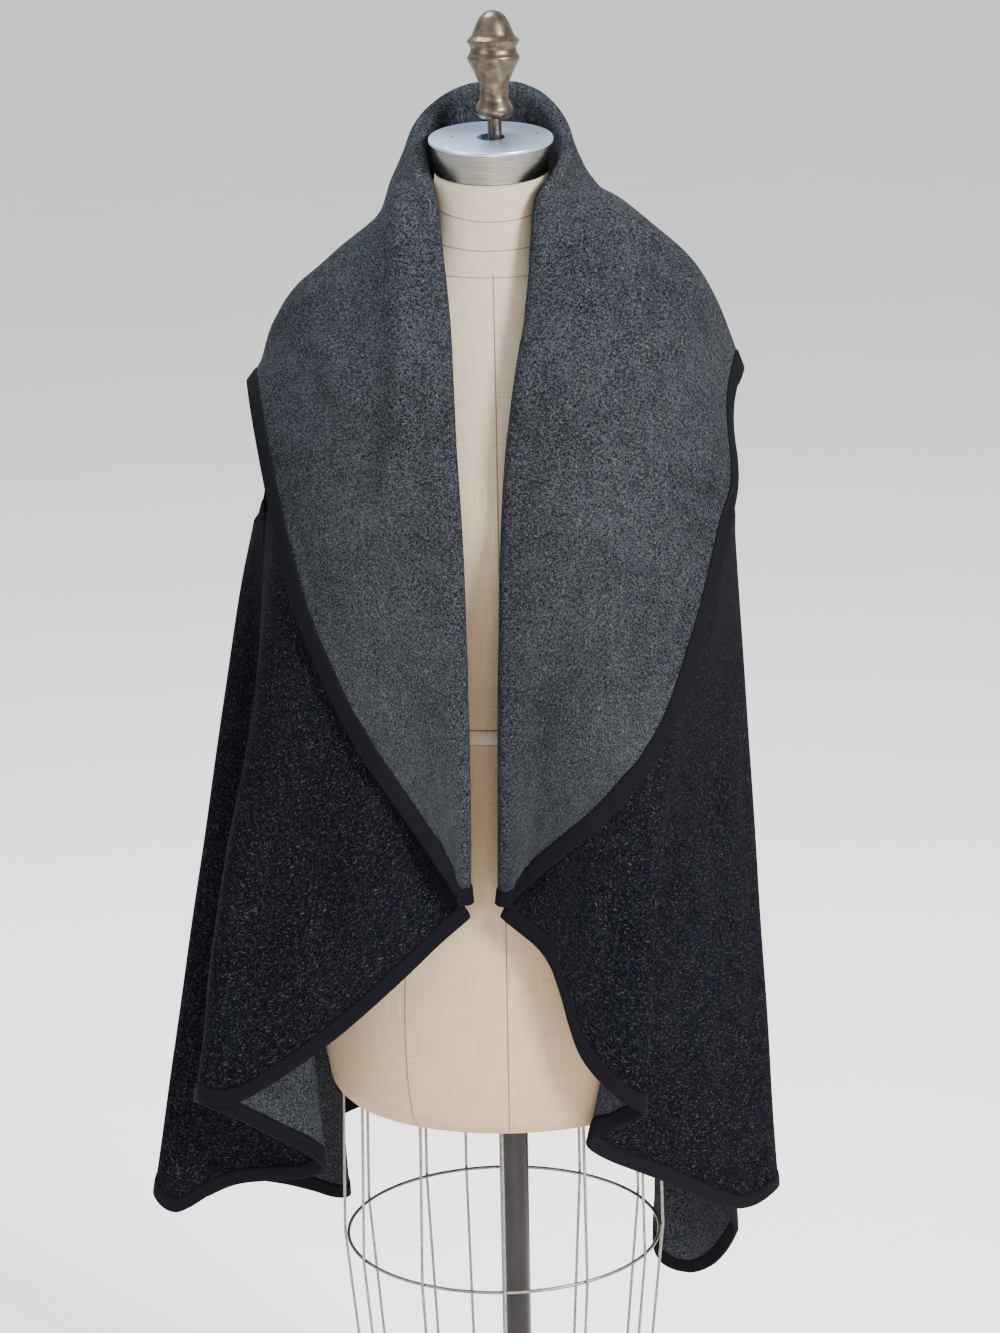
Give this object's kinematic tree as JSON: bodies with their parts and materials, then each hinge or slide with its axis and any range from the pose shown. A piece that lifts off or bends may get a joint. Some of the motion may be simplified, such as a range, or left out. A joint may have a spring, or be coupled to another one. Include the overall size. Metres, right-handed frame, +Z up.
{
  "type": "shawl collar vest on dress form",
  "caption": "Open draped shawl collar vest in dark double-faced wool with bound edges, worn on a limbless canvas dress form with wire cage, finial, pole and round base",
  "frame": {"origin": "centre of the base's underside, under the pole", "axes": "+Z up, the vest's front faces -Y, the wearer's left is +X"},
  "size_m": [0.5889, 0.4575, 1.6535],
  "materials": {
    "wool": "double-faced coating wool, dark navy outside and grey inside, matte and slightly fuzzy",
    "binding": "smooth dark bias binding with rows of stitches",
    "canvas": "unbleached linen canvas, matte",
    "cap_steel": "brushed steel plate with a painted band",
    "finial_brass": "aged brass, satin",
    "pole_steel": "black steel tube, worn satin",
    "base_iron": "black painted cast iron",
    "cage_wire": "dull steel wire"
  },
  "bodies": {
    "root": {"torso": "canvas", "neck_cap": "cap_steel", "finial": "finial_brass", "pole": "pole_steel", "base": "base_iron", "cage_hoop": "cage_wire", "cage_foot_hoop": "cage_wire", "cage_wire_01": "cage_wire", "cage_wire_02": "cage_wire", "cage_wire_03": "cage_wire", "cage_wire_04": "cage_wire", "cage_wire_05": "cage_wire", "cage_wire_06": "cage_wire", "cage_wire_07": "cage_wire", "cage_wire_08": "cage_wire", "cage_wire_09": "cage_wire", "cage_wire_10": "cage_wire", "cage_wire_11": "cage_wire", "cage_wire_12": "cage_wire", "front_right": "wool", "front_left": "wool", "back": "wool", "binding_front_right": "binding", "binding_front_left": "binding", "binding_back": "binding"}
  },
  "joints": []
}
